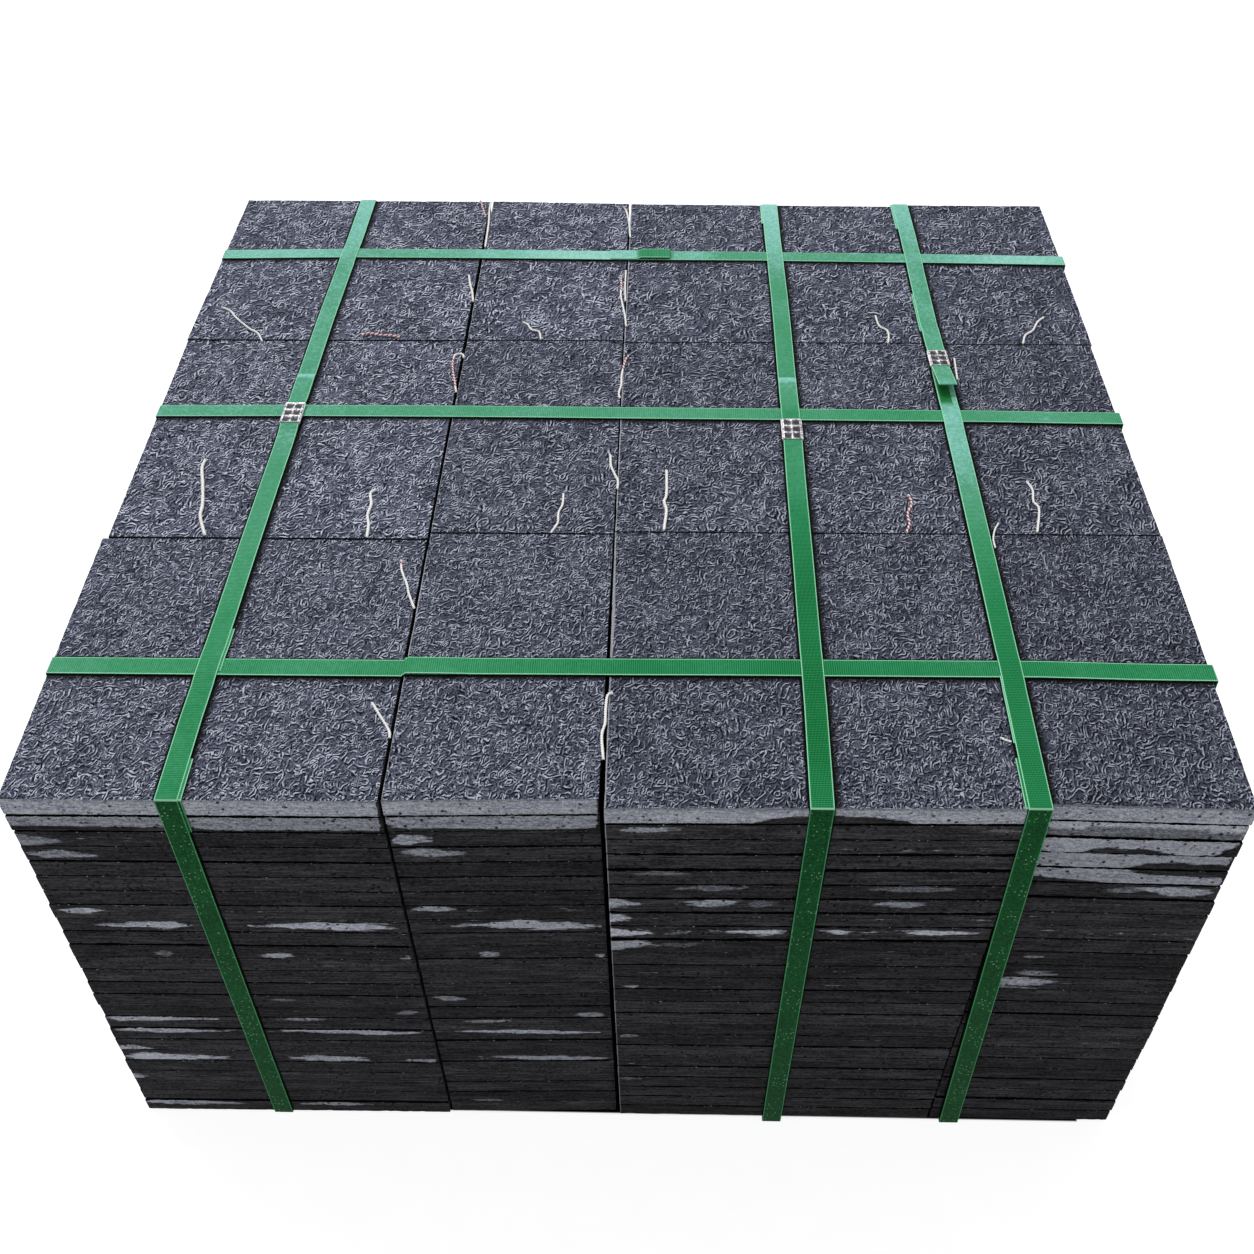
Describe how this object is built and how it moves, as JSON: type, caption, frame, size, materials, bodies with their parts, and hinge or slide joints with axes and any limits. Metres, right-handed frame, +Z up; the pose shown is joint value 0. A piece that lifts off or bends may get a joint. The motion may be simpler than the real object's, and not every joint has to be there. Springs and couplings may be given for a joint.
{
  "type": "strapped stack of basalt paving slabs",
  "caption": "Square stack of thin sawn dark basalt paving slabs with textured tops, bound both ways with green plastic strap and clip seals.",
  "frame": {"origin": "centre of the underside of the stack, straps included", "axes": "+X left to right along the front, +Y from front to back, +Z up"},
  "size_m": [0.9528, 0.907, 0.5063],
  "materials": {
    "basalt": "dark sawn basalt, textured tops, damp sides",
    "strap": "green embossed plastic strap",
    "seal": "crimped galvanised clip seal",
    "string_white": "loose white twine",
    "string_red": "loose red and white twine"
  },
  "bodies": {
    "root": {"layer_01": "basalt", "layer_02": "basalt", "layer_03": "basalt", "layer_04": "basalt", "layer_05": "basalt", "layer_06": "basalt", "layer_07": "basalt", "layer_08": "basalt", "layer_09": "basalt", "layer_10": "basalt", "layer_11": "basalt", "layer_12": "basalt", "layer_13": "basalt", "layer_14": "basalt", "layer_15": "basalt", "layer_16": "basalt", "layer_17": "basalt", "layer_18": "basalt", "layer_19": "basalt", "layer_20": "basalt", "layer_21": "basalt", "layer_22": "basalt", "layer_23": "basalt", "layer_24": "basalt", "layer_25": "basalt", "strap_left": "strap", "strap_middle": "strap", "strap_right": "strap", "cross_strap_front": "strap", "cross_strap_middle": "strap", "cross_strap_back": "strap", "seal_left": "seal", "seal_middle": "seal", "seal_right": "seal", "string_01": "string_white", "string_02": "string_white", "string_03": "string_white", "string_04": "string_red", "string_05": "string_white", "string_06": "string_white", "string_07": "string_white", "string_08": "string_white", "string_09": "string_white", "string_10": "string_white", "string_11": "string_red", "string_12": "string_white", "string_13": "string_white", "string_14": "string_white", "string_15": "string_white", "string_16": "string_white", "string_17": "string_white", "string_18": "string_white", "string_19": "string_white", "string_20": "string_white", "string_21": "string_white", "string_22": "string_red", "string_23": "string_white", "string_24": "string_white", "string_25": "string_white", "string_stub": "string_white"}
  },
  "joints": []
}
